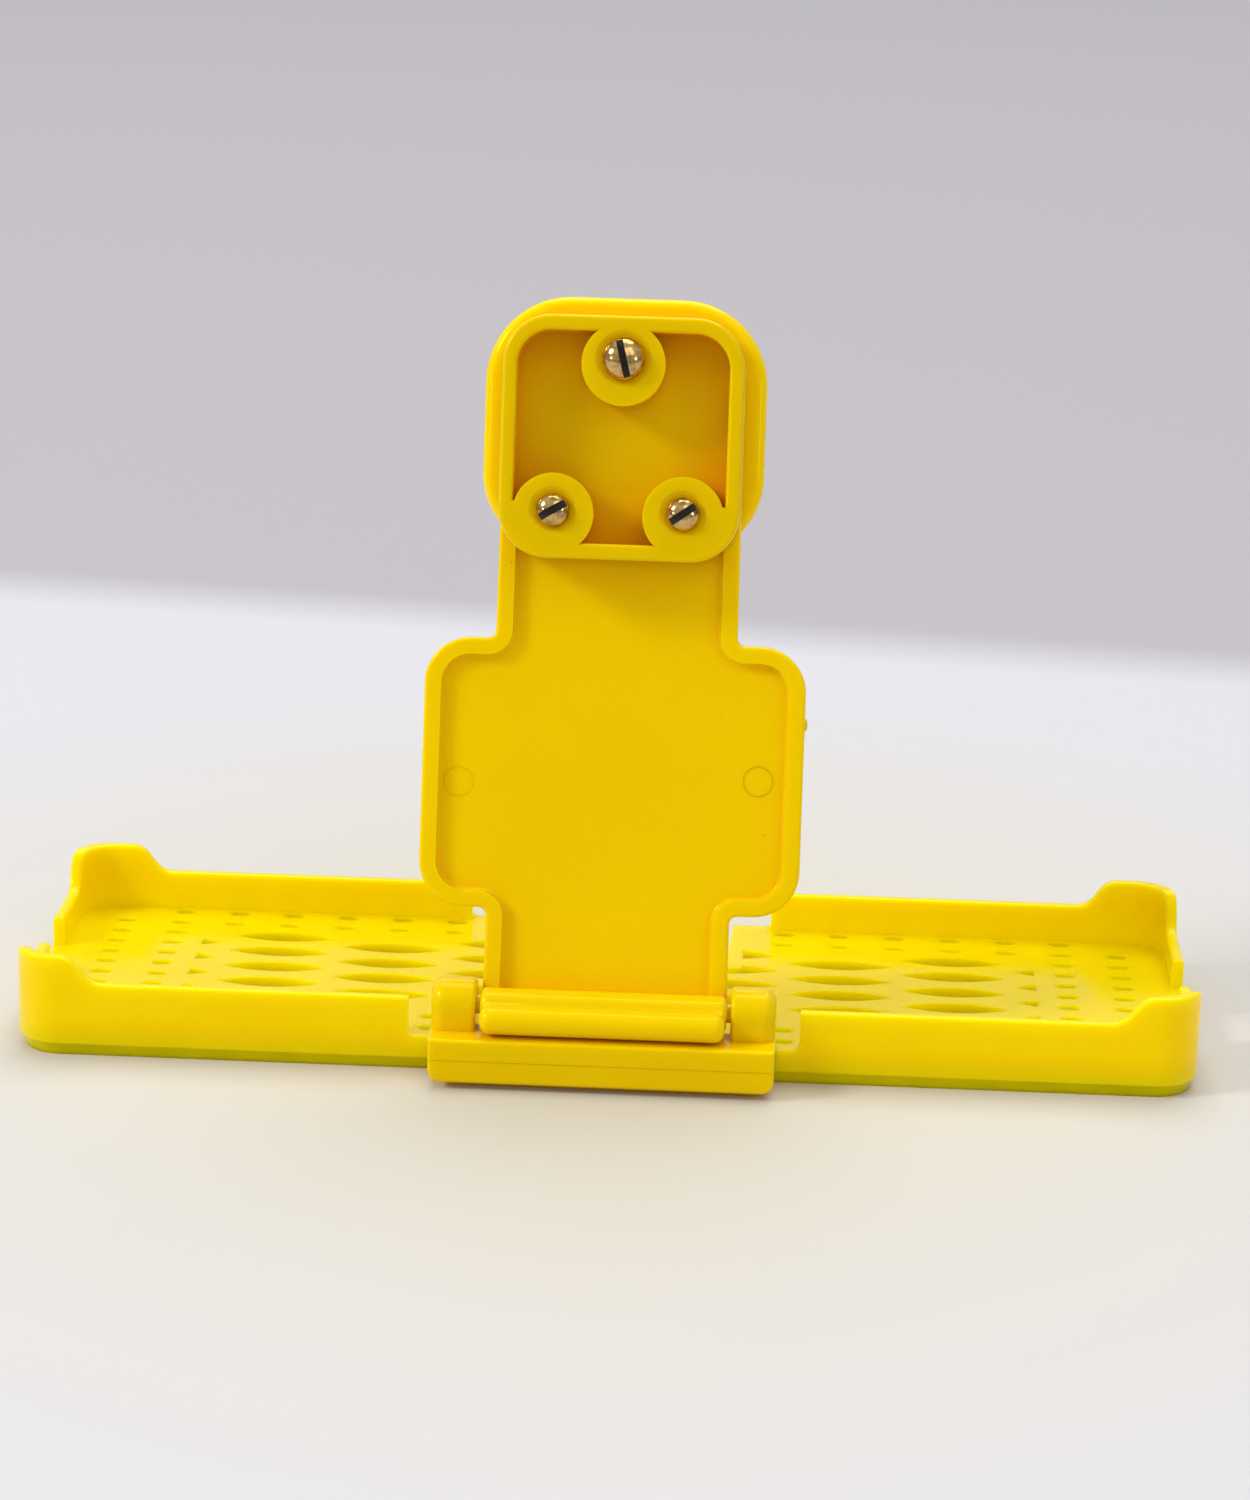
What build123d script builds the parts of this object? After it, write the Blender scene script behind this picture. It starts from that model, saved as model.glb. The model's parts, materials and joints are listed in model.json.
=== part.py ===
from build123d import *
import os
from collections import namedtuple
from math import cos, radians, sin

# Folding tray stand, in millimetres.
# A shallow perforated tray lies flat.  A hinge bracket is screwed to the middle of its front edge,
# and an upright arm with a screwed head turns on a pin between the bracket's two lugs.
# +Z is up, -Y is the front.  The origin is on the table, in the middle of the whole footprint.

os.makedirs("parts", exist_ok=True)

# ---- driving dimensions: tray ----
tray_length = 150.0
tray_depth = 47.0
bracket_reach = 6.3        # how far the bracket stands out in front of the tray
tray_corner = 5.5
wall = 1.5
skirt_bottom = 1.6         # the outer walls end this far above the table
skirt_round = 0.3
foot_inset = 0.8           # ring that the tray stands on, set back under the outer walls
foot_width = 1.0
floor_top = 4.65
floor_thickness = 2.0
wall_top = 9.7             # long walls
end_wall_top = 8.5
ear_top = 13.3             # raised corners
front_ear = (63.2, 69.3)   # distances from the middle between which an ear rises
rear_ear = (61.7, 67.3)
ear_return = 5.6           # run of the same rise along the end walls
ear_return_start = 3.0
end_notch = 10.0
front_gap = 49.4           # openings in the long walls, either side of the arm
rear_gap = 40.8
gap_round = 0.8
floor_notch_width = 30.8   # opening in the floor's rear edge
floor_notch_depth = 15.5
notch_draft = 0.7
edge_round = 0.45

# ---- driving dimensions: floor pattern ----
cell = 7.45                # pitch of the short slots along the tray
slot_row = 4.1             # pitch of the short slots across the tray
slot_length = 2.8
slot_width = 1.6
lens_length = 13.8
lens_width = 3.7
lens_row = 5.9
strip_edge = 55.6          # the long holes stop at a plain strip here
end_column = 9             # outermost column and row of short slots
outer_row = 5

# ---- driving dimensions: hinge, distances in y from the tray's front edge ----
axis_forward = 1.0
axis_z = 9.4
rest_lean = 14.0           # backward lean of the arm as it stands
bracket_width = 43.2
bracket_gap = 0.1
bracket_bottom = 0.9
bracket_foot_inset = 2.2
bracket_corner = 1.6       # lower corners of the bracket's face
ledge_top = 6.6
lug_inner = 15.95
lug_radius = 3.2
lug_behind = 1.15          # the lugs' middle lies this far behind the pin
lug_z = 9.4
lug_outer_round = 1.7
lug_inner_round = 0.6
pin_radius = 1.0
pin_fit = 0.05
pin_blind = 1.2            # the bore stops this far inside the left lug's outer face
pin_recess = 0.3           # the pin ends this far inside the right lug's outer face
flange_reach = 10.0
flange_half = 15.0
flange_top = 2.55
bracket_screw_x = 10.0
bracket_screw_in = 6.0
bracket_screw_radius = 0.95
bracket_screw_head = 2.0
bracket_screw_bite = 1.4   # length of screw inside the tray's floor

# ---- driving dimensions: arm, in its own plane, distances along the arm from the hinge axis ----
plate_start = 1.5
rim_face = -1.36           # depths, positive towards the front
panel_face = -2.5
plate_back = -4.0
rim_width = 2.1
panel_round = 0.5
neck_low_half = 15.35
neck_high_half = 14.95
wide_half = 23.9
wide_low = 12.2
wide_high = 46.1
wide_corner = 5.8
neck_corner = 1.0
head_low = 56.3
head_high = 86.3
head_half = 14.85
head_corner = 6.0
knuckle_radius = 2.35      # round bar that the pin runs through
knuckle_half = 15.45
knuckle_round = 0.9
lip_radius = 1.85          # round lip in front of the knuckle, which stops on the bracket's ledge
lip_half = 15.3
lip_round = 1.3
lip_front = 2.9
lip_along = -1.4
shelf_half = 14.9          # the webs between plate, knuckle and lip
web_back = 2.5             # corner of the rear web, which clears the bracket as the arm folds
neck_underside = 1.35

# ---- driving dimensions: head ----
housing_face = 5.6
housing_floor = 1.6
housing_wall = 1.75
recess_corner = 4.3
recess_draft = 0.2         # the recess is this much shorter at each end than its walls need
corner_fill = 1.0          # the lower corners are solid up to this far past the lower screws
cap_half = 17.7
cap_low = 56.9
cap_high = 89.15
cap_top_corner = 10.8
cap_low_corner = 10.2
cap_back = -8.5
cap_front_round = 1.3
cap_back_round = 1.6
cap_shell = 1.6
cap_rim = 3.6
pocket_wall = 1.6
seat_depth = 0.3           # how far each screw head sits below the face of its boss
fit = 0.15                 # clearance round a shank
nut_fit = 0.05             # clearance round a nut
nut_recess = 0.2           # the nuts sit this far inside the cap's back

# Screws of the head: radii of shank, head and boss, and the nut's width across flats and height.
Fixing = namedtuple("Fixing", "across along boss_along shank head boss nut_flats nut_height slot_turn")
fixings = {
    "upper": Fixing(0.0, 81.0, 80.4, 1.45, 2.68, 5.17, 5.5, 2.3, slot_turn=104),
    "lower_left": Fixing(-8.1, 62.2, 61.8, 1.2, 2.12, 5.0, 5.0, 1.9, slot_turn=31),
    "lower_right": Fixing(7.95, 62.2, 61.8, 1.2, 2.12, 5.0, 5.0, 1.9, slot_turn=35),
}

tray_front = -(tray_depth - bracket_reach) / 2
tray_back = tray_front + tray_depth
middle_y = (tray_front + tray_back) / 2
axis_y = tray_front - axis_forward
lug_y = axis_y + lug_behind
bracket_front = tray_front - bracket_reach
bracket_back = tray_front - bracket_gap
bracket_middle = (bracket_front + bracket_back) / 2
bracket_screw_y = tray_front + bracket_screw_in
bracket_screws = {"bracket_screw_left": -1, "bracket_screw_right": 1}
flange_end = tray_front + flange_reach
notch_front = tray_back - floor_notch_depth
floor_bottom = floor_top - floor_thickness
head_middle = (head_low + head_high) / 2
seat_face = housing_face - seat_depth

# The arm's plane faces out of its front, with x across and y along the arm.
arm_plane = Plane(
    origin=(0, axis_y, axis_z),
    x_dir=(1, 0, 0),
    z_dir=(0, -cos(radians(rest_lean)), sin(radians(rest_lean))),
)
out_of_arm = Axis(arm_plane.origin, arm_plane.z_dir)
# Section through the arm, with x towards its front and y along it.
arm_section = Plane(origin=arm_plane.origin, x_dir=arm_plane.z_dir, z_dir=(-1, 0, 0))


def tray_outline(inset, mode=Mode.ADD):
    """Rounded plan of the tray, shrunk by inset, in the current sketch."""
    corner = tray_corner - 0.6 * inset
    with Locations((0, middle_y)):
        RectangleRounded(tray_length - 2 * inset, tray_depth - 2 * inset, corner, mode=mode)


def valley(start, full, low, middle=0.0):
    """Everything above a low wall with a smooth rise to the ears at each end."""
    high = 2 * ear_top
    with BuildSketch(mode=Mode.PRIVATE) as shape:
        with BuildLine():
            Polyline((middle + full, ear_top), (middle + full, high), (middle - full, high), (middle - full, ear_top))
            Spline((middle - full, ear_top), (middle - start, low), tangents=((1, 0), (1, 0)))
            Line((middle - start, low), (middle + start, low))
            Spline((middle + start, low), (middle + full, ear_top), tangents=((1, 0), (1, 0)))
        make_face()
    return shape.sketch


def lens(length, width):
    """Long hole with two curved sides that meet in a point at each end."""
    with BuildSketch(mode=Mode.PRIVATE) as shape:
        with BuildLine():
            ThreePointArc((-length / 2, 0), (0, width / 2), (length / 2, 0))
            ThreePointArc((-length / 2, 0), (0, -width / 2), (length / 2, 0))
        make_face()
    return shape.sketch


def floor_slots():
    """Centres of the short slots: two rows along each long edge and two columns at each end."""
    places = []
    for column in range(-end_column, end_column + 1):
        for row in range(-outer_row, outer_row + 1):
            x = column * cell
            y = middle_y + row * slot_row
            at_edge = abs(row) >= outer_row - 1
            at_end = abs(column) >= end_column - 1
            corner = abs(column) == end_column and abs(row) == outer_row
            over_flange = abs(x) < flange_half + 1 and y < flange_end + 1
            in_opening = abs(x) < floor_notch_width / 2 + 1 and y > notch_front - 1
            if (at_edge or at_end) and not (corner or over_flange or in_opening):
                places.append((x, y))
    return places


def lens_centres(column):
    """Centres of the long holes in one column; neighbouring columns are staggered by half a row."""
    rows = [-1.5, -0.5, 0.5, 1.5] if column % 4 == 0 else [-2, -1, 0, 1, 2]
    first, last = tray_front, tray_back
    if column == 0:
        first, last = flange_end, notch_front - lens_width / 2
    places = [(column * cell, middle_y + row * lens_row) for row in rows]
    return [(x, y) for x, y in places if first < y < last]


# ---- tray ----
with BuildPart() as tray:
    with BuildSketch(Plane.XY.offset(skirt_bottom)):
        tray_outline(0)
    extrude(amount=ear_top - skirt_bottom)
    fillet(tray.edges().group_by(Axis.Z)[0], skirt_round)
    # hollow above the floor
    with BuildSketch(Plane.XY.offset(floor_top)):
        tray_outline(wall)
    extrude(amount=ear_top, mode=Mode.SUBTRACT)
    # long walls are lower than the ears
    with BuildSketch(Plane.XZ.offset(-middle_y)):
        add(valley(*front_ear, wall_top))
    extrude(amount=tray_depth, mode=Mode.SUBTRACT)
    with BuildSketch(Plane.XZ.offset(-middle_y)):
        add(valley(*rear_ear, wall_top))
    extrude(amount=-tray_depth, mode=Mode.SUBTRACT)
    # end walls are lower still
    with BuildSketch(Plane.YZ.offset(-tray_length)):
        return_end = tray_depth / 2 - ear_return_start
        add(valley(return_end - ear_return, return_end, end_wall_top, middle_y))
    extrude(amount=2 * tray_length, mode=Mode.SUBTRACT)
    # soften the top of every wall before the gaps are cut
    fillet(tray.edges().filter_by_position(Axis.Z, end_wall_top - 0.2, ear_top + 0.2), edge_round)

    # gaps in the long walls, and a notch in the middle of each end wall
    with BuildSketch(Plane.XZ.offset(-(tray_front + wall + 1))):
        with Locations((0, floor_top + tray_depth / 2)):
            RectangleRounded(front_gap, tray_depth, gap_round)
    extrude(amount=2 * tray_depth, mode=Mode.SUBTRACT)
    with BuildSketch(Plane.XZ.offset(-(tray_back + 1))):
        with Locations((0, floor_top + tray_depth / 2)):
            RectangleRounded(rear_gap, tray_depth, gap_round)
    extrude(amount=wall + 2, mode=Mode.SUBTRACT)
    with BuildSketch(Plane.YZ.offset(-tray_length)):
        with Locations((middle_y, floor_top + tray_depth / 2)):
            Rectangle(end_notch, tray_depth)
    extrude(amount=2 * tray_length, mode=Mode.SUBTRACT)
    # hollow underneath, with the ring that the tray stands on
    with BuildSketch(Plane.XY):
        tray_outline(wall)
    extrude(amount=floor_bottom, mode=Mode.SUBTRACT)
    with BuildSketch(Plane.XY):
        tray_outline(foot_inset)
        tray_outline(foot_inset + foot_width, Mode.SUBTRACT)
    extrude(amount=floor_bottom)
    # opening in the middle of the floor's rear edge
    with BuildSketch(Plane.XY.offset(-1)):
        with BuildLine():
            Polyline(
                (-floor_notch_width / 2, tray_back + 1),
                (-floor_notch_width / 2 + notch_draft, notch_front),
                (floor_notch_width / 2 - notch_draft, notch_front),
                (floor_notch_width / 2, tray_back + 1),
                close=True,
            )
        make_face()
    extrude(amount=floor_top + 2, mode=Mode.SUBTRACT)
    # way through skirt and ring for the bracket's flange
    with BuildSketch(Plane.XY.offset(-1)):
        with Locations((0, tray_front)):
            Rectangle(2 * flange_half + 0.8, 2 * (foot_inset + foot_width + 0.5))
    extrude(amount=1 + floor_bottom, mode=Mode.SUBTRACT)
    # short slots
    with BuildSketch(Plane.XY.offset(floor_bottom - 0.1)):
        with Locations(floor_slots()):
            SlotOverall(slot_length, slot_width)
    extrude(amount=floor_thickness + 0.2, mode=Mode.SUBTRACT)
    # long pointed holes, cut short where they meet the plain strips or the rear opening
    with BuildSketch(Plane.XY.offset(floor_bottom - 0.1)):
        for column in range(1 - end_column, end_column, 2):
            with Locations(lens_centres(column)):
                add(lens(lens_length, lens_width))
        with Locations((0, middle_y)):
            Rectangle(2 * strip_edge, tray_depth, mode=Mode.INTERSECT)
        with Locations((0, tray_back - floor_notch_depth / 2)):
            Rectangle(floor_notch_width + 3, floor_notch_depth + 3, mode=Mode.SUBTRACT)
    extrude(amount=floor_thickness + 0.2, mode=Mode.SUBTRACT)
    # threaded holes for the bracket's screws
    with Locations([(side * bracket_screw_x, bracket_screw_y, floor_bottom) for side in (-1, 1)]):
        Cylinder(
            bracket_screw_radius,
            bracket_screw_bite + 0.1,
            align=(Align.CENTER, Align.CENTER, Align.MIN),
            mode=Mode.SUBTRACT,
        )
tray.part.label = "tray"
export_step(tray.part, "parts/tray.step")


# ---- hinge bracket ----
with BuildPart() as hinge_bracket:
    with BuildSketch(Plane.XZ.offset(-bracket_back)):
        with Locations((0, (bracket_bottom + ledge_top) / 2)):
            RectangleRounded(bracket_width, ledge_top - bracket_bottom, bracket_corner)
    extrude(amount=bracket_back - bracket_front)
    # square the upper corners again under the lugs
    with BuildSketch(Plane.XY.offset(ledge_top - bracket_corner - 0.4)):
        with Locations((0, bracket_middle)):
            Rectangle(bracket_width, bracket_back - bracket_front)
    extrude(amount=bracket_corner + 0.4)
    fillet(hinge_bracket.edges().group_by(Axis.Y)[0], edge_round)
    # lugs, each a rounded ear round the pin that rests on the tray's floor behind
    for side in (-1, 1):
        with BuildSketch(Plane.YZ.offset(side * (lug_inner + bracket_width / 2) / 2)):
            with Locations((lug_y, lug_z)):
                Circle(lug_radius)
            with Locations((lug_y, (lug_z + ledge_top - 1) / 2)):
                Rectangle(2 * lug_radius, lug_z - ledge_top + 1)
            with Locations((lug_y + lug_radius / 2, (lug_z + floor_top) / 2)):
                Rectangle(lug_radius, lug_z - floor_top)
        extrude(amount=(bracket_width / 2 - lug_inner) / 2, both=True)
    lug_edges = hinge_bracket.edges().filter_by_position(Axis.Z, lug_z, lug_z + lug_radius + 0.1)
    lug_arcs = lug_edges.filter_by(GeomType.CIRCLE).sort_by(Axis.X)
    fillet([lug_arcs[0], lug_arcs[-1]], lug_outer_round)
    lug_edges = hinge_bracket.edges().filter_by_position(Axis.X, -lug_inner - 0.01, lug_inner + 0.01)
    fillet(lug_edges.filter_by(GeomType.CIRCLE), lug_inner_round)
    # foot recessed like the tray's
    with BuildSketch(Plane.XY):
        with Locations((0, bracket_middle + bracket_foot_inset / 2)):
            RectangleRounded(
                bracket_width - 2 * bracket_corner, bracket_back - bracket_front - bracket_foot_inset, 1.0)
    extrude(amount=bracket_bottom)
    # flange under the tray's floor
    with BuildSketch(Plane.XY.offset(bracket_bottom)):
        with Locations((0, (flange_end + bracket_back - 1) / 2)):
            Rectangle(2 * flange_half, flange_end - bracket_back + 1)
    extrude(amount=flange_top - bracket_bottom)
    with Locations([(side * bracket_screw_x, bracket_screw_y, bracket_bottom) for side in (-1, 1)]):
        Cylinder(bracket_screw_radius + fit, 2 * flange_top, mode=Mode.SUBTRACT)
        Cone(
            bracket_screw_head + 0.1,
            bracket_screw_radius + fit,
            1.0,
            align=(Align.CENTER, Align.CENTER, Align.MIN),
            mode=Mode.SUBTRACT,
        )
    # bore for the pin, open at the right
    with BuildSketch(Plane.YZ.offset(-bracket_width / 2 + pin_blind)):
        with Locations((axis_y, axis_z)):
            Circle(pin_radius)
    extrude(amount=bracket_width, mode=Mode.SUBTRACT)
hinge_bracket.part.label = "hinge_bracket"
export_step(hinge_bracket.part, "parts/hinge_bracket.step")


# ---- screws that hold the bracket ----
for name, side in bracket_screws.items():
    with BuildPart() as bracket_screw:
        with Locations((side * bracket_screw_x, bracket_screw_y, bracket_bottom)):
            Cone(
                bracket_screw_head,
                bracket_screw_radius,
                0.95,
                align=(Align.CENTER, Align.CENTER, Align.MIN),
            )
            Cylinder(
                bracket_screw_radius,
                floor_bottom - bracket_bottom + bracket_screw_bite,
                align=(Align.CENTER, Align.CENTER, Align.MIN),
            )
            Box(0.5, 3 * bracket_screw_head, 0.8, rotation=(0, 0, side * 25), mode=Mode.SUBTRACT)
    bracket_screw.part.label = name
    export_step(bracket_screw.part, f"parts/{name}.step")


# ---- hinge pin ----
with BuildPart() as hinge_pin:
    with BuildSketch(Plane.YZ.offset(-bracket_width / 2 + pin_blind + 0.1)):
        with Locations((axis_y, axis_z)):
            Circle(pin_radius)
    extrude(amount=bracket_width - pin_blind - 0.1 - pin_recess)
    chamfer(hinge_pin.edges().filter_by(GeomType.CIRCLE), 0.2)
hinge_pin.part.label = "hinge_pin"
export_step(hinge_pin.part, "parts/hinge_pin.step")


def neck_half(along):
    """Half width of the arm's neck, which narrows a little from the hinge to the top."""
    share = (along - plate_start) / (head_high - plate_start)
    return neck_low_half + share * (neck_high_half - neck_low_half)


def arm_outline(inset=0.0):
    """Narrow, wide, narrow outline of the arm with its corners rounded, shrunk by inset."""
    right_side = [
        (neck_half(plate_start), plate_start),
        (neck_half(wide_low), wide_low),
        (wide_half, wide_low),
        (wide_half, wide_high),
        (neck_half(wide_high), wide_high),
        (neck_high_half, head_high - 0.4),
    ]
    left_side = [(-across, along) for across, along in reversed(right_side)]
    with BuildSketch(mode=Mode.PRIVATE) as outline:
        with BuildLine():
            Polyline(*right_side, *left_side, close=True)
        make_face()
        fillet(outline.vertices().filter_by(lambda v: abs(v.X) > wide_half - 0.1), wide_corner)
        inner_corners = outline.vertices().filter_by(lambda v: abs(v.X) < neck_low_half)
        inner_corners = inner_corners.filter_by_position(Axis.Y, wide_low - 0.1, wide_high + 0.1)
        fillet(inner_corners, neck_corner)
        fillet(outline.vertices().filter_by(lambda v: v.Y > head_high - 1), head_corner)
        if inset:
            offset(amount=-inset, kind=Kind.ARC)
    return outline.sketch


# ---- arm ----
with BuildPart() as arm:
    with BuildSketch(arm_plane.offset(plate_back)):
        add(arm_outline())
    extrude(amount=rim_face - plate_back)
    layers = arm.faces().sort_by(out_of_arm)
    fillet(layers[-1].edges() + layers[0].edges(), edge_round)
    # recessed panel inside the raised rim, which is open at the bottom
    with BuildSketch(arm_plane.offset(panel_face)):
        add(arm_outline(rim_width))
        with Locations((0, plate_start + rim_width / 2)):
            Rectangle(2 * (neck_low_half - rim_width), 2 * rim_width)
        with Locations((0, head_high)):
            Rectangle(3 * wide_half, 2 * (head_high - head_low - 3), mode=Mode.SUBTRACT)
    extrude(amount=4, mode=Mode.SUBTRACT)
    fillet(arm.edges().filter_by_position(out_of_arm, panel_face - 0.01, panel_face + 0.01), panel_round)
    # webs from the plate to the knuckle and from the knuckle to the lip
    with BuildSketch(arm_section):
        with BuildLine():
            Polyline(
                (plate_back, plate_start + 1),
                (plate_back, plate_start + 0.3),
                (-web_back, neck_underside),
                (-0.98 * knuckle_radius, 0),
                (0, -0.85 * knuckle_radius),
                (lip_front, lip_along - 0.6 * lip_radius),
                (lip_front, lip_along + 0.85 * lip_radius),
                (0.14 * knuckle_radius, 0.99 * knuckle_radius),
                (panel_face, plate_start + 0.6),
                (panel_face, plate_start + 1),
                close=True,
            )
        make_face()
    extrude(amount=shelf_half, both=True)
    # knuckle round the pin, and lip, each with rounded ends
    lip_centre = arm_section.from_local_coords((lip_front, lip_along, 0))
    bars = [
        (arm_plane.origin, knuckle_radius, knuckle_half, knuckle_round),
        (lip_centre, lip_radius, lip_half, lip_round),
    ]
    for centre, radius, half, end_round in bars:
        with BuildSketch(Plane(origin=centre)) as half_section:
            Rectangle(2 * half, radius, align=(Align.CENTER, Align.MIN))
            fillet(half_section.vertices().group_by(Axis.Y)[-1], end_round)
        revolve(axis=Axis(centre, (1, 0, 0)))
    with BuildSketch(Plane.YZ.offset(-bracket_width / 2)):
        with Locations((axis_y, axis_z)):
            Circle(pin_radius + pin_fit)
    extrude(amount=bracket_width, mode=Mode.SUBTRACT)
    # clearance holes for the head's screws
    with BuildSketch(arm_plane.offset(plate_back - 1)):
        for fixing in fixings.values():
            with Locations((fixing.across, fixing.along)):
                Circle(fixing.shank + fit)
    extrude(amount=6, mode=Mode.SUBTRACT)
arm.part.label = "arm"
export_step(arm.part, "parts/arm.step")


# ---- front housing: open box with three screw bosses ----
with BuildPart() as front_housing:
    with BuildSketch(arm_plane.offset(rim_face)):
        with Locations((0, head_middle)):
            RectangleRounded(2 * head_half, head_high - head_low, head_corner)
    extrude(amount=housing_face - rim_face)
    with BuildSketch(arm_plane.offset(rim_face + housing_floor)):
        with Locations((0, head_middle)):
            RectangleRounded(
                2 * (head_half - housing_wall),
                head_high - head_low - 2 * (housing_wall + recess_draft),
                recess_corner,
            )
    extrude(amount=housing_face - rim_face, mode=Mode.SUBTRACT)
    fillet(front_housing.faces().sort_by(out_of_arm)[-1].edges(), edge_round)
    # bosses flush with the rim; the lower ones run out solid into the corners
    with BuildSketch(arm_plane.offset(rim_face + housing_floor)):
        for fixing in fixings.values():
            with Locations((fixing.across, fixing.boss_along)):
                Circle(fixing.boss)
        for fixing in (fixings["lower_left"], fixings["lower_right"]):
            fill_top = fixing.along + corner_fill
            side = 1 if fixing.across > 0 else -1
            with Locations(((fixing.across + side * head_half) / 2, (head_low + fill_top) / 2)):
                Rectangle(head_half - abs(fixing.across), fill_top - head_low)
        with Locations((0, head_middle)):
            RectangleRounded(
                2 * (head_half - edge_round) - 0.2,
                head_high - head_low - 2 * edge_round - 0.2,
                head_corner - edge_round,
                mode=Mode.INTERSECT,
            )
    extrude(amount=housing_face - rim_face - housing_floor)
    for fixing in fixings.values():
        with Locations(arm_plane * Location((fixing.across, fixing.along, seat_face))):
            Cone(
                fixing.head + 0.1,
                fixing.head + 0.9,
                seat_depth,
                align=(Align.CENTER, Align.CENTER, Align.MIN),
                mode=Mode.SUBTRACT,
            )
            Cylinder(fixing.shank + fit, 30, mode=Mode.SUBTRACT)
front_housing.part.label = "front_housing"
export_step(front_housing.part, "parts/front_housing.step")


# ---- rear cap: shell behind the arm, with a pocket for each nut ----
with BuildSketch(mode=Mode.PRIVATE) as cap_outline:
    with Locations((0, (cap_low + cap_high) / 2)):
        Rectangle(2 * cap_half, cap_high - cap_low)
    fillet(cap_outline.vertices().group_by(Axis.Y)[-1], cap_top_corner)
    fillet(cap_outline.vertices().group_by(Axis.Y)[0], cap_low_corner)
with BuildPart() as rear_cap:
    with BuildSketch(arm_plane.offset(cap_back)):
        add(cap_outline.sketch)
    extrude(amount=plate_back - cap_back)
    fillet(rear_cap.faces().sort_by(out_of_arm)[-1].edges(), cap_front_round)
    fillet(rear_cap.faces().sort_by(out_of_arm)[0].edges(), cap_back_round)
    with BuildSketch(arm_plane.offset(cap_back + cap_shell)):
        offset(cap_outline.sketch, amount=-cap_rim, kind=Kind.ARC)
    extrude(amount=plate_back - cap_back, mode=Mode.SUBTRACT)
    with BuildSketch(arm_plane.offset(cap_back + cap_shell)):
        for fixing in fixings.values():
            with Locations((fixing.across, fixing.along)):
                Circle(fixing.nut_flats / 2 + pocket_wall)
        add(offset(cap_outline.sketch, amount=-1.0, kind=Kind.ARC, mode=Mode.PRIVATE), mode=Mode.INTERSECT)
    extrude(amount=plate_back - cap_back - cap_shell)
    for fixing in fixings.values():
        with BuildSketch(arm_plane.offset(cap_back - 0.5)):
            with Locations((fixing.across, fixing.along)):
                RegularPolygon(fixing.nut_flats / 2 + nut_fit, 6, major_radius=False)
        extrude(amount=0.5 + nut_recess + fixing.nut_height, mode=Mode.SUBTRACT)
        with BuildSketch(arm_plane.offset(cap_back - 0.5)):
            with Locations((fixing.across, fixing.along)):
                Circle(fixing.shank + fit)
        extrude(amount=10, mode=Mode.SUBTRACT)
rear_cap.part.label = "rear_cap"
export_step(rear_cap.part, "parts/rear_cap.step")


# ---- head screws and their nuts ----
for name, fixing in fixings.items():
    seat = arm_plane * Location((fixing.across, fixing.along, seat_face))
    side_plane = Plane(origin=seat.position, x_dir=arm_plane.x_dir, z_dir=-arm_plane.y_dir)
    shank = fixing.shank
    head = fixing.head
    head_height = 0.8 * head
    tip = cap_back + 0.3 - seat_face
    with BuildPart() as screw:
        with BuildSketch(side_plane):
            with BuildLine():
                Polyline((0, head_height), (0, tip), (shank - 0.3, tip), (shank, tip + 0.3), (shank, 0), (head, 0))
                Line((head, 0), (head, 0.15))
                ThreePointArc((head, 0.15), (0.74 * head, 0.72 * head_height), (0, head_height))
            make_face()
        revolve(axis=Axis(seat.position, arm_plane.z_dir))
        with BuildSketch(arm_plane.offset(seat_face + 0.45 * head_height)):
            with Locations((fixing.across, fixing.along)):
                Rectangle(3 * head, 0.28 * head, rotation=fixing.slot_turn)
        extrude(amount=head_height, mode=Mode.SUBTRACT)
    screw.part.label = f"{name}_screw"
    export_step(screw.part, f"parts/{name}_screw.step")

    with BuildPart() as nut:
        with BuildSketch(arm_plane.offset(cap_back + nut_recess)):
            with Locations((fixing.across, fixing.along)):
                RegularPolygon(fixing.nut_flats / 2, 6, major_radius=False)
                Circle(shank + 0.02, mode=Mode.SUBTRACT)
        extrude(amount=fixing.nut_height)
    nut.part.label = f"{name}_nut"
    export_step(nut.part, f"parts/{name}_nut.step")
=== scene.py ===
import json
import math

import bmesh
import bpy
from mathutils import Matrix, Vector


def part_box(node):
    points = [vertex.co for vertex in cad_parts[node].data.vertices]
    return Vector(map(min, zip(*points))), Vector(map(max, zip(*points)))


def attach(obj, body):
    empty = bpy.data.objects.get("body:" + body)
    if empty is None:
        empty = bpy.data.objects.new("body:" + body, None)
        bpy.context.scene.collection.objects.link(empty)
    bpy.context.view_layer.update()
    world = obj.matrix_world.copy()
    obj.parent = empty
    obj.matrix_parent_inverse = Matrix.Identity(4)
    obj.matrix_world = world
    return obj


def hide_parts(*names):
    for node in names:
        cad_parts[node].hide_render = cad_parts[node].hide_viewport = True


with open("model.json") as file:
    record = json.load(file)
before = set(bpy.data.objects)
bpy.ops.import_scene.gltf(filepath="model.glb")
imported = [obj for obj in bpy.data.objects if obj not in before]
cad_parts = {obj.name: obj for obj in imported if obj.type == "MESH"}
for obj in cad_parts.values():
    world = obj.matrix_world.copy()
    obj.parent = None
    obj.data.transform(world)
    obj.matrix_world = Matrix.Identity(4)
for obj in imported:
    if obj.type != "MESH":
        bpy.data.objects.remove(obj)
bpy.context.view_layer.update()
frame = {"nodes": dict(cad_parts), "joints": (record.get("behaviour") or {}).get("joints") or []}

# Folding tray stand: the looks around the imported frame, in metres.
# The arm's own axes are across (+X), along (up the arm) and front (out of its face).

MM = 0.001

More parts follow.
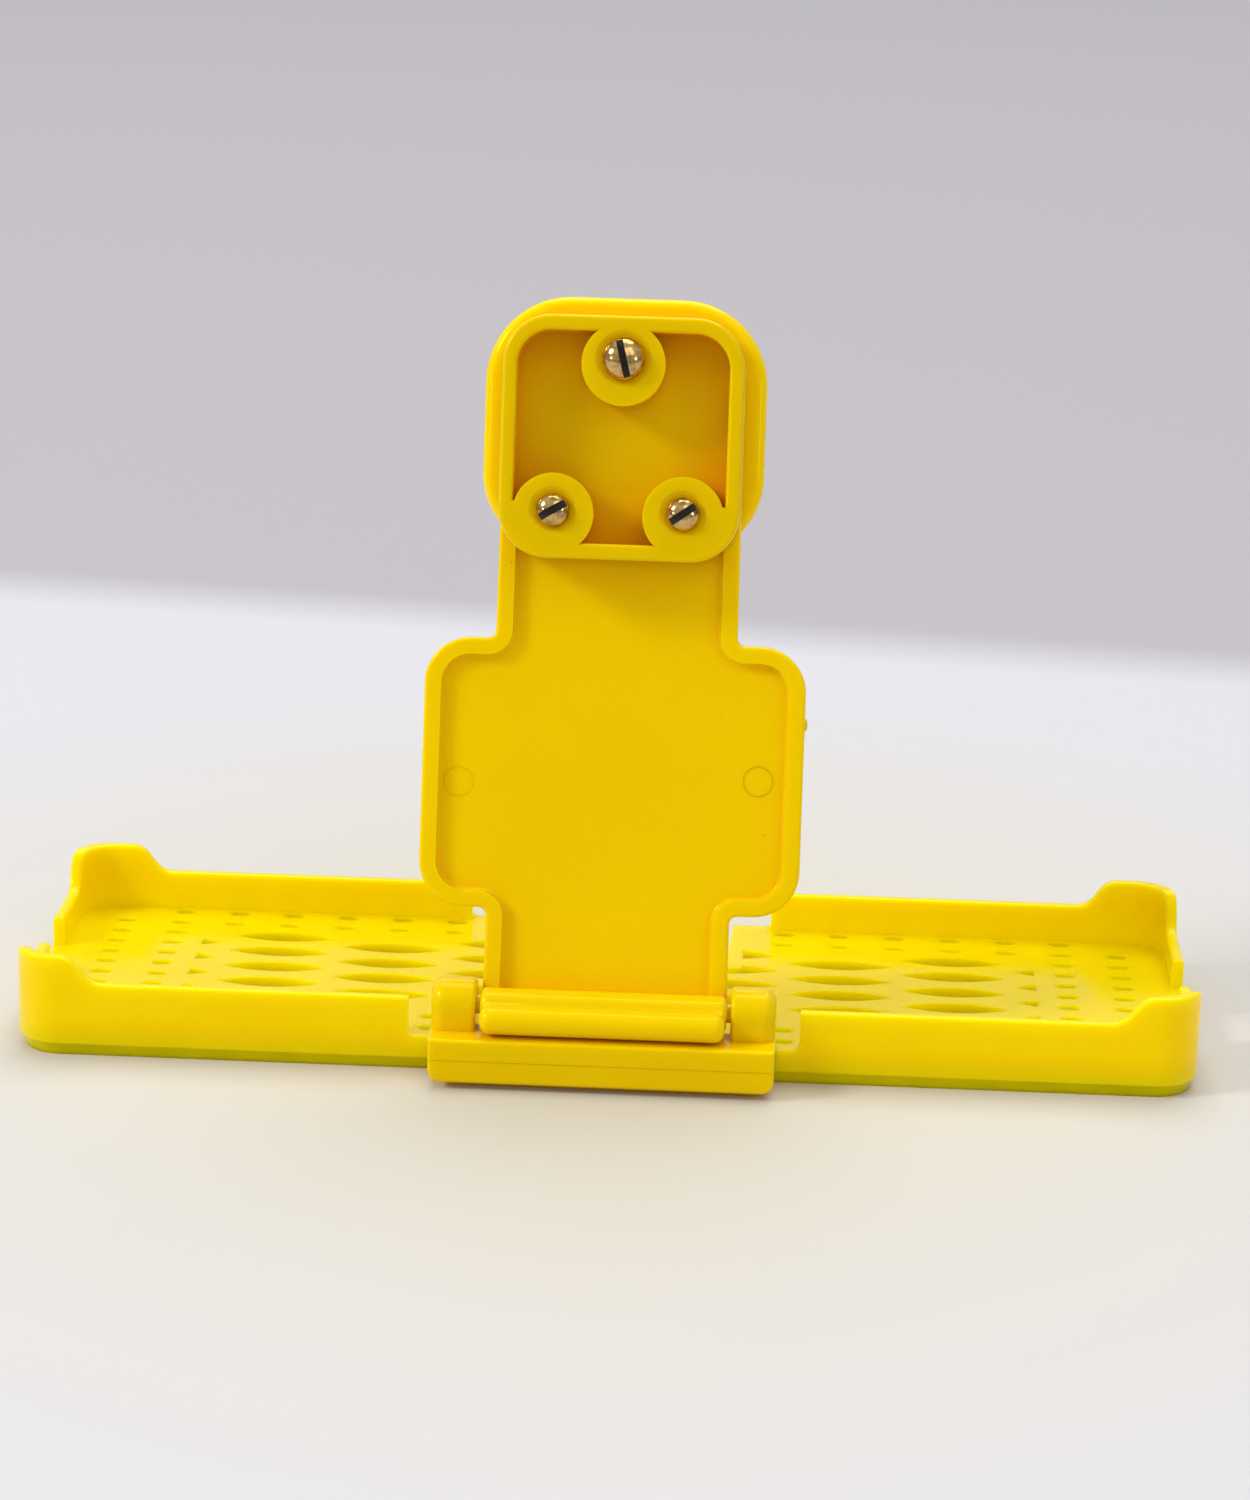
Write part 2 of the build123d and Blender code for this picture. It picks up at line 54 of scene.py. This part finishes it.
# ---- colours and finishes ----
YELLOW_DEEP = (0.87, 0.595, 0.0)
YELLOW_LIGHT = (0.895, 0.62, 0.0)
YELLOW_PAINTED_GLOW = (1.0, 0.76, 0.0)         # painted light: brighter yellow in the tray's holes and hollows, standing in for light through the thin plastic
# painted shade: darker orange in the corners and hollows of the bracket, arm and cap
YELLOW_CORNER_SHADE = (0.87, 0.51, 0.0)
# painted shade: deep orange in the housing's recess
YELLOW_RECESS_SHADE = (0.84, 0.35, 0.0)
YELLOW_SPECK = (0.36, 0.21, 0.01)
BRASS = (0.66, 0.43, 0.15)
# painted shade in the screw slots
SLOT_SHADE = (0.012, 0.007, 0.004)
STEEL = (0.55, 0.55, 0.56)
THIN_GLOW = (0.9, 5 * MM)              # weight and depth of the light inside the thin tray
SOLID_GLOW = (0.5, 2 * MM)

# ---- table, surround and lights ----
TABLE_WHITE = (0.585, 0.577, 0.605)
TABLE_BOUNCE_TINT = (0.60, 0.565, 0.48)       # painted light: yellow light bounced onto the table beside the plastic
BOUNCE_TINT_SPREAD = (0.16, 0.17, 1)
TABLE_SIZE = 8
BACKDROP_GREY = (0.408, 0.387, 0.405)
EDGE_Y = 0.20              # where the white table top ends behind the object
EDGE_SLOPE = 0.13
EDGE_BLUR = 0.012
SKY_LOW = (0.34, 0.342, 0.35, 1)
SKY_HIGH = (0.74, 0.75, 0.77, 1)
LIGHT_TARGET = Vector((0, 0, 0.04))
LIGHTS = {                 # place, size and power
    "key": ((-1.85, -0.7, 1.4), 0.5, 26),
    "top": ((0.2, 1.0, 2.6), 2.2, 46),
    "front": ((0.875, -1.5, 1.8), 1.4, 7),
    "glint_left": ((-1.2, -0.9, 0.4), 0.12, 1.0),
    "glint_right": ((1.2, -0.9, 0.4), 0.12, 1.0),
}

# ---- small moulding marks, placed from the arm's hinge or the bracket's box ----
LEAN = math.radians(14)
PANEL_DEPTH = -2.5 * MM
EJECTOR_MARKS = {"right": (18.3 * MM, 29.2 * MM, 0.1 * MM), "left": (-19.3 * MM, 27.9 * MM, 0.075 * MM)}
EJECTOR_RADIUS = 1.85 * MM
EJECTOR_SINK = -0.06 * MM
GATE_ALONG = 36.5 * MM
GATE_FRONT = -2.7 * MM
GATE_RADIUS = 0.8 * MM
GATE_ROOT, GATE_SHOULDER, GATE_TIP, GATE_PEAK = (h * MM for h in (-0.3, 0.05, 0.3, 0.35))
PARTING_Z = 3.85 * MM
PARTING_LENGTH = 5.5 * MM  # how far the line runs back along each side
PARTING_THICK = 0.04 * MM
BRACKET_ROUND = 0.45 * MM

# ---- screws: turn and width of each slot, and shares of the head's radius ----
SLOTS = {"upper_screw": (104, 0.32), "lower_left_screw": (31, 0.44), "lower_right_screw": (35, 0.44)}
HEAD_HEIGHT = 0.8
HEAD_RIM = 0.1
HEAD_FOOT = 0.97
SHANK_SHARE = 0.55
SLOT_DEPTH = 0.45
THREAD_PITCH = 0.5 * MM
THREAD_DEPTH = 0.16 * MM
THREAD_TURNS = 5
THREAD_LEAD = 0.3 * MM     # plain end before the first thread
STEPS_PER_TURN = 8
TIP_TAPER = 0.35 * MM
NUT_BORE = 0.48
NUT_EDGE = 0.15 * MM
NUT_FACE = 1.01            # round chamfered face, against the distance to the flats

# ---- camera ----
CAMERA_PLACE = (0.02168, -0.485939, 0.182765)
CAMERA_YAW, CAMERA_PITCH, CAMERA_ROLL = -0.0425, 0.291, 0.024
CAMERA_LENS = 94.94

hinge = Vector(frame["joints"][0]["pos_m"])
along_arm = Vector((0, math.sin(LEAN), math.cos(LEAN)))
arm_front = Vector((0, -math.cos(LEAN), math.sin(LEAN)))
arm_axes = Matrix((Vector((1, 0, 0)), along_arm, arm_front)).transposed().to_4x4()
arm_axes.translation = hinge


# ---- materials ----

def new_material(name):
    """A node material with its Principled shader, and a short way to add and link nodes."""
    material = bpy.data.materials.new(name)
    material.use_nodes = True
    tree = material.node_tree
    shader = tree.nodes["Principled BSDF"]

    def add(kind, links=None, **values):
        node = tree.nodes.new(kind)
        for key, value in values.items():
            if key in node.inputs:
                node.inputs[key].default_value = value
            else:
                setattr(node, key, value)
        for key, source in (links or {}).items():
            tree.links.new(source, node.inputs[key])
        return node

    return material, shader, add, tree.links.new


def ramp(add, source, stops):
    """Colour ramp from (position, grey or colour) stops."""
    node = add("ShaderNodeValToRGB", {"Fac": source})
    elements = node.color_ramp.elements
    while len(elements) < len(stops):
        elements.new(0.5)
    for element, (position, value) in zip(elements, stops):
        element.position = position
        element.color = (*value, 1) if isinstance(value, tuple) else (value, value, value, 1)
    return node.outputs["Color"]


def plastic(name, offset, tone, glow, painted_hollow_colour, hollow_reach):
    """Glossy yellow plastic: flow clouding, painted light and shade in hollows from ambient occlusion,
    orange peel, rubs and specks.
    """
    material, shader, add, link = new_material(name)
    place = add("ShaderNodeTexCoord").outputs["Object"]
    shifted = add("ShaderNodeVectorMath", {0: place}, operation="ADD")
    shifted.inputs[1].default_value = offset
    place = shifted.outputs[0]

    cloud = add("ShaderNodeTexNoise", {"Vector": place}, Scale=55, Detail=3, Roughness=0.5)
    # The tone brightens or darkens the whole part: painted light and shade.
    deep, light = (tuple(tone * c for c in colour) for colour in (YELLOW_DEEP, YELLOW_LIGHT))
    flow = ramp(add, cloud.outputs["Fac"], [(0.3, deep), (0.7, light)])
    # Painted light and shade: where ambient occlusion is low, the hollows take the painted hollow colour.
    open_sky = add("ShaderNodeAmbientOcclusion", Distance=hollow_reach, samples=8)
    hollow = add("ShaderNodeMix", {"Factor": open_sky.outputs["AO"], "B": flow}, data_type="RGBA")
    hollow.inputs["A"].default_value = (*painted_hollow_colour, 1)
    speck_cells = add("ShaderNodeTexVoronoi", {"Vector": place}, Scale=420)
    speck = ramp(add, speck_cells.outputs["Distance"], [(0.0, 0.0), (0.03, 0.0), (0.055, 1.0)])
    rare = add("ShaderNodeTexNoise", {"Vector": place}, Scale=90, Detail=1)
    rare_mask = ramp(add, rare.outputs["Fac"], [(0.66, 1.0), (0.70, 0.0)])
    speck_keep = add("ShaderNodeMath", {0: speck, 1: rare_mask}, operation="MAXIMUM")
    body = hollow.outputs["Result"]
    dark = add("ShaderNodeMix", {"Factor": speck_keep.outputs[0], "B": body}, data_type="RGBA")
    dark.inputs["A"].default_value = (*YELLOW_SPECK, 1)
    link(dark.outputs["Result"], shader.inputs["Base Color"])

    rub = add("ShaderNodeTexNoise", {"Vector": place}, Scale=260, Detail=6, Roughness=0.7)
    rough = ramp(add, rub.outputs["Fac"], [(0.35, 0.13), (0.75, 0.25)])
    link(rough, shader.inputs["Roughness"])
    peel = add("ShaderNodeTexNoise", {"Vector": place}, Scale=900, Detail=2, Roughness=0.4)
    wave = add("ShaderNodeTexNoise", {"Vector": place}, Scale=120, Detail=1)
    height = add("ShaderNodeMath", {0: wave.outputs["Fac"], 1: peel.outputs["Fac"]}, operation="MULTIPLY")
    bump = add("ShaderNodeBump", {"Height": height.outputs[0]}, Strength=0.07, Distance=0.0002)
    link(bump.outputs["Normal"], shader.inputs["Normal"])

    shader.inputs["IOR"].default_value = 1.49
    shader.inputs["Specular IOR Level"].default_value = 0.45
    shader.inputs["Specular Tint"].default_value = (1.0, 0.87, 0.06, 1)
    glow_weight, glow_depth = glow
    shader.inputs["Subsurface Weight"].default_value = glow_weight
    shader.inputs["Subsurface Radius"].default_value = (1.0, 0.85, 0.05)
    shader.inputs["Subsurface Scale"].default_value = glow_depth
    return material


def metal(name, colour, low_rough, high_rough, scratch):
    """Turned metal: fine machining streaks, faint tarnish and a slight grain in the gloss."""
    material, shader, add, link = new_material(name)
    place = add("ShaderNodeTexCoord").outputs["Object"]
    tarnish = add("ShaderNodeTexNoise", {"Vector": place}, Scale=900, Detail=5, Roughness=0.65)
    dull = tuple(0.22 * c for c in colour)
    tone = ramp(add, tarnish.outputs["Fac"], [(0.3, dull), (0.55, colour)])
    link(tone, shader.inputs["Base Color"])
    streaks = add("ShaderNodeTexNoise", {"Vector": place}, Scale=3000, Detail=4)
    rough = ramp(add, streaks.outputs["Fac"], [(0.3, low_rough), (0.7, high_rough)])
    link(rough, shader.inputs["Roughness"])
    bump = add("ShaderNodeBump", {"Height": streaks.outputs["Fac"]}, Strength=scratch, Distance=0.00003)
    link(bump.outputs["Normal"], shader.inputs["Normal"])
    shader.inputs["Metallic"].default_value = 1.0
    return material


def painted_slot_shade():
    """Painted shade: near-black colour on the walls and floor of a screw slot, where shade falls."""
    material, shader, add, link = new_material("slot_painted_shade")
    place = add("ShaderNodeTexCoord").outputs["Object"]
    patches = add("ShaderNodeTexNoise", {"Vector": place}, Scale=2500, Detail=4)
    tone = ramp(add, patches.outputs["Fac"], [(0.35, SLOT_SHADE), (0.75, tuple(3 * c for c in SLOT_SHADE))])
    link(tone, shader.inputs["Base Color"])
    shader.inputs["Roughness"].default_value = 0.7
    return material


# Painted light and shade: each part's tone makes a lighter or darker copy of the same yellow plastic, to
# follow how light falls on it.
tray_plastic = plastic("tray_plastic", (0.3, 0.1, 0.2), 1.0, THIN_GLOW, YELLOW_PAINTED_GLOW, 5 * MM)
bracket_plastic = plastic("bracket_plastic", (0.2, 0.8, 0.5), 0.95, SOLID_GLOW, YELLOW_CORNER_SHADE, 4 * MM)
arm_plastic = plastic("arm_plastic", (0.7, 0.5, 0.4), 0.99, SOLID_GLOW, YELLOW_CORNER_SHADE, 4 * MM)
cap_plastic = plastic("cap_plastic", (0.9, 0.2, 0.8), 1.06, SOLID_GLOW, YELLOW_CORNER_SHADE, 4 * MM)
housing_plastic = plastic("housing_plastic", (1.1, 0.9, 0.6), 0.84, SOLID_GLOW, YELLOW_RECESS_SHADE, 8 * MM)
brass = metal("screw_brass", BRASS, 0.08, 0.18, 0.3)
steel = metal("screw_steel", STEEL, 0.2, 0.4, 0.4)
slot_shade_finish = painted_slot_shade()

finishes = {
    "tray": tray_plastic,
    "hinge_bracket": bracket_plastic,
    "hinge_pin": bracket_plastic,
    "arm": arm_plastic,
    "rear_cap": cap_plastic,
    "front_housing": housing_plastic,
    "bracket_screw_left": steel,
    "bracket_screw_right": steel,
}
for node_name, node in frame["nodes"].items():
    node.data.materials.clear()
    node.data.materials.append(finishes.get(node_name, brass))


# ---- turned pieces ----

def lathe(name, profile_at, place, finish, body, steps=64):
    """Turned piece: the closed profile of (radius, height) points at each angle, round place's z axis."""
    mesh = bmesh.new()
    rings = []
    for step in range(steps):
        angle = 2 * math.pi * step / steps
        turn = Matrix.Rotation(angle, 4, "Z")
        points = [place @ turn @ Vector((radius, 0, height)) for radius, height in profile_at(angle)]
        rings.append([mesh.verts.new(point) for point in points])
    for ring, next_ring in zip(rings, rings[1:] + rings[:1]):
        for i in range(len(ring)):
            j = (i + 1) % len(ring)
            mesh.faces.new((ring[i], next_ring[i], next_ring[j], ring[j]))
    bmesh.ops.remove_doubles(mesh, verts=mesh.verts, dist=0.001 * MM)
    bmesh.ops.dissolve_degenerate(mesh, edges=mesh.edges, dist=0.001 * MM)
    bmesh.ops.recalc_face_normals(mesh, faces=mesh.faces)
    for face in mesh.faces:
        face.smooth = True
    data = bpy.data.meshes.new(name)
    mesh.to_mesh(data)
    mesh.free()
    data.materials.append(finish)
    piece = bpy.data.objects.new(name, data)
    bpy.context.scene.collection.objects.link(piece)
    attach(piece, body)
    return piece


def arm_place(across, along, front):
    """Frame on the arm, with z out of the arm's face."""
    return arm_axes @ Matrix.Translation((across, along, front))


def arm_span(node_name):
    """Lowest and highest corner of a node in the arm's own axes."""
    inverse = arm_axes.inverted()
    points = [inverse @ vertex.co for vertex in frame["nodes"][node_name].data.vertices]
    lowest = Vector([min(point[i] for point in points) for i in range(3)])
    highest = Vector([max(point[i] for point in points) for i in range(3)])
    return lowest, highest


def cut_slot(piece, place, radius, head_height, width):
    """Saw a straight slot across a screw's head, with painted shade on its walls and floor."""
    bpy.ops.mesh.primitive_cube_add(size=1)
    cutter = bpy.context.object
    depth = 2 * head_height
    centre = Matrix.Translation((0, 0, head_height * (1 - SLOT_DEPTH) + depth / 2))
    cutter.matrix_world = place @ centre @ Matrix.Diagonal((3 * radius, width * radius, depth, 1))
    cutter.data.materials.append(slot_shade_finish)
    cut = piece.modifiers.new("slot", "BOOLEAN")
    cut.operation = "DIFFERENCE"
    cut.solver = "EXACT"
    cut.material_mode = "TRANSFER"
    cut.object = cutter
    graph = bpy.context.evaluated_depsgraph_get()
    cut_data = bpy.data.meshes.new_from_object(piece.evaluated_get(graph))
    cut_data.set_sharp_from_angle(angle=math.radians(35))
    piece.modifiers.clear()
    piece.data = cut_data
    bpy.data.objects.remove(cutter)


def quarter_turn(steps):
    """Angles from 0 to a right angle."""
    return [math.pi / 2 * step / steps for step in range(steps + 1)]


def head_screw(node_name, slot_turn, slot_width):
    """Round-head screw with a slot, a plain shank and a threaded end, in place of its CAD node."""
    lowest, highest = arm_span(node_name)
    radius = (highest.x - lowest.x) / 2
    head_height = HEAD_HEIGHT * radius
    shank = SHANK_SHARE * radius
    seat = highest.z - head_height
    tip = lowest.z - seat
    rim = HEAD_RIM * radius
    dome = [(radius * math.sin(a), rim + (head_height - rim) * math.cos(a)) for a in quarter_turn(14)]
    thread_steps = range(THREAD_TURNS * STEPS_PER_TURN, -1, -1)
    thread_heights = [tip + THREAD_LEAD + THREAD_PITCH * step / STEPS_PER_TURN for step in thread_steps]
    thread_end = thread_heights[0] + 0.1 * MM

    def profile_at(angle):
        points = dome + [(HEAD_FOOT * radius, 0), (shank, 0), (shank, thread_end)]
        for height in thread_heights:
            phase = (height / THREAD_PITCH + angle / (2 * math.pi)) % 1
            points.append((shank - THREAD_DEPTH * abs(2 * phase - 1), height))
        return points + [(shank - TIP_TAPER, tip), (0, tip)]

    middle = (lowest + highest) / 2
    place = arm_place(middle.x, middle.y, seat)
    piece = lathe(f"turned_{node_name}", profile_at, place, brass, "arm")
    slot_place = place @ Matrix.Rotation(math.radians(slot_turn), 4, "Z")
    cut_slot(piece, slot_place, radius, head_height, slot_width)
    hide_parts(node_name)


def hex_nut(node_name):
    """Hexagon nut with chamfered corners, in place of its CAD node."""
    lowest, highest = arm_span(node_name)
    corner = (highest.x - lowest.x) / 2
    flat = corner * math.cos(math.pi / 6)
    height = highest.z - lowest.z
    bore = NUT_BORE * corner + 0.02 * MM

    def profile_at(angle):
        hexagon = flat / math.cos(angle % (math.pi / 3) - math.pi / 6)
        face = min(hexagon, NUT_FACE * flat)
        drop = (hexagon - face) * math.tan(math.pi / 6)
        outer = [(face, 0), (hexagon, drop), (hexagon, height - drop), (face, height)]
        flare = bore + NUT_EDGE
        return outer + [(flare, height), (bore, height - NUT_EDGE), (bore, NUT_EDGE), (flare, 0)]

    middle = (lowest + highest) / 2
    place = arm_place(middle.x, middle.y, lowest.z)
    piece = lathe(f"chamfered_{node_name}", profile_at, place, brass, "arm", 96)
    piece.data.set_sharp_from_angle(angle=math.radians(20))
    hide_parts(node_name)


for screw_name, (slot_turn, slot_width) in SLOTS.items():
    head_screw(screw_name, slot_turn, slot_width)
    hex_nut(screw_name.replace("screw", "nut"))


# ---- moulding marks ----

def round_section(radius, height, thick, points=10):
    """Circle of the given thickness round a point of the profile."""
    angles = [2 * math.pi * step / points for step in range(points)]
    return [(radius + thick * math.cos(a), height + thick * math.sin(a)) for a in angles]


def moulding_marks():
    """Ejector rings on the arm's panel, the gate's stub on its edge and the bracket's parting line."""
    for side, (across, along, thick) in EJECTOR_MARKS.items():
        section = round_section(EJECTOR_RADIUS, EJECTOR_SINK, thick)
        place = arm_place(across, along, PANEL_DEPTH)
        lathe(f"ejector_ring_{side}", lambda angle: section, place, arm_plastic, "arm")

    arm_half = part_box("arm")[1][0]
    stub = [(0, GATE_ROOT), (GATE_RADIUS, GATE_ROOT), (GATE_RADIUS, GATE_SHOULDER)]
    stub += [(0.7 * GATE_RADIUS, GATE_TIP), (0, GATE_PEAK)]
    edge = arm_place(arm_half, GATE_ALONG, GATE_FRONT) @ Matrix.Rotation(math.pi / 2, 4, "Y")
    lathe("gate_stub", lambda angle: stub, edge, arm_plastic, "arm", 24)

    low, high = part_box("hinge_bracket")
    side_x, front_y = high[0], low[1]
    back_y = front_y + PARTING_LENGTH
    centre_x, centre_y = side_x - BRACKET_ROUND, front_y + BRACKET_ROUND
    right = [(side_x, back_y)]
    for a in quarter_turn(6):
        right.append((centre_x + BRACKET_ROUND * math.cos(a), centre_y - BRACKET_ROUND * math.sin(a)))
    left = [(-x, y) for x, y in reversed(right)]
    curve = bpy.data.curves.new("parting_line", "CURVE")
    curve.dimensions = "3D"
    curve.bevel_depth = PARTING_THICK
    curve.bevel_resolution = 2
    curve.use_fill_caps = True
    spline = curve.splines.new("POLY")
    spline.points.add(len(right + left) - 1)
    for point, (x, y) in zip(spline.points, right + left):
        point.co = (x, y, PARTING_Z, 1)
    curve.materials.append(bracket_plastic)
    line = bpy.data.objects.new("parting_line", curve)
    bpy.context.scene.collection.objects.link(line)
    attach(line, "base")


moulding_marks()


# ---- floor, light and camera ----

def ground():
    """White table top with painted yellow bounce light beside the object, and a grey surface beyond its
    soft far edge.
    """
    material, shader, add, link = new_material("table_white")
    place = add("ShaderNodeTexCoord").outputs["Object"]
    split = add("ShaderNodeSeparateXYZ", {0: place})
    turned = add("ShaderNodeMath", {0: split.outputs["X"]}, operation="MULTIPLY")
    turned.inputs[1].default_value = EDGE_SLOPE
    depth = add("ShaderNodeMath", {0: split.outputs["Y"], 1: turned.outputs[0]}, operation="ADD")
    span = add("ShaderNodeMapRange", {"Value": depth.outputs[0]})
    span.inputs["From Min"].default_value = EDGE_Y - EDGE_BLUR
    span.inputs["From Max"].default_value = EDGE_Y + EDGE_BLUR
    # Painted light: the table turns warm near the object, as if lit by light bounced off the yellow
    # plastic.
    spread = add("ShaderNodeVectorMath", {0: place}, operation="DIVIDE")
    spread.inputs[1].default_value = BOUNCE_TINT_SPREAD
    reach = add("ShaderNodeVectorMath", {0: spread.outputs[0]}, operation="LENGTH")
    painted_bounce = ramp(add, reach.outputs["Value"], [(0.22, TABLE_BOUNCE_TINT), (1.2, TABLE_WHITE)])
    colour = add("ShaderNodeMix", {"Factor": span.outputs["Result"], "A": painted_bounce}, data_type="RGBA")
    colour.inputs["B"].default_value = (*BACKDROP_GREY, 1)
    link(colour.outputs["Result"], shader.inputs["Base Color"])
    shader.inputs["Roughness"].default_value = 0.6
    shader.inputs["Specular IOR Level"].default_value = 0.2
    bpy.ops.mesh.primitive_plane_add(size=TABLE_SIZE)
    plane = bpy.context.object
    plane.name = "table"
    plane.data.materials.append(material)


def area_light(name, place, size, power):
    """Square soft light at a place, pointing at the object."""
    data = bpy.data.lights.new(name, "AREA")
    data.size = size
    data.energy = power
    light = bpy.data.objects.new(name, data)
    light.location = place
    light.rotation_euler = (LIGHT_TARGET - Vector(place)).to_track_quat("-Z", "Y").to_euler()
    bpy.context.scene.collection.objects.link(light)


def sky():
    """Soft studio surround, brighter overhead than at the horizon."""
    world = bpy.data.worlds.new("studio")
    bpy.context.scene.world = world
    world.use_nodes = True
    tree = world.node_tree
    place = tree.nodes.new("ShaderNodeTexCoord")
    split = tree.nodes.new("ShaderNodeSeparateXYZ")
    shade = tree.nodes.new("ShaderNodeValToRGB")
    tree.links.new(place.outputs["Generated"], split.inputs[0])
    tree.links.new(split.outputs["Z"], shade.inputs["Fac"])
    tree.links.new(shade.outputs["Color"], tree.nodes["Background"].inputs["Color"])
    shade.color_ramp.elements[0].color = SKY_LOW
    shade.color_ramp.elements[1].color = SKY_HIGH


def photo_camera():
    """Camera at the front, above the tray, looking down a little."""
    yaw, pitch, roll = CAMERA_YAW, CAMERA_PITCH, CAMERA_ROLL
    level_right = Vector((math.cos(yaw), -math.sin(yaw), 0))
    forward = Vector((math.sin(yaw) * math.cos(pitch), math.cos(yaw) * math.cos(pitch), -math.sin(pitch)))
    level_up = level_right.cross(forward)
    right = math.cos(roll) * level_right + math.sin(roll) * level_up
    up = math.cos(roll) * level_up - math.sin(roll) * level_right
    data = bpy.data.cameras.new("camera")
    data.lens = CAMERA_LENS
    camera = bpy.data.objects.new("camera", data)
    turn = Matrix((right, up, -forward)).transposed().to_4x4()
    camera.matrix_world = Matrix.Translation(CAMERA_PLACE) @ turn
    bpy.context.scene.collection.objects.link(camera)
    bpy.context.scene.camera = camera


ground()
sky()
for light_name, (light_place, light_size, light_power) in LIGHTS.items():
    area_light(light_name, light_place, light_size, light_power)
photo_camera()
bpy.context.scene.view_settings.view_transform = "Standard"
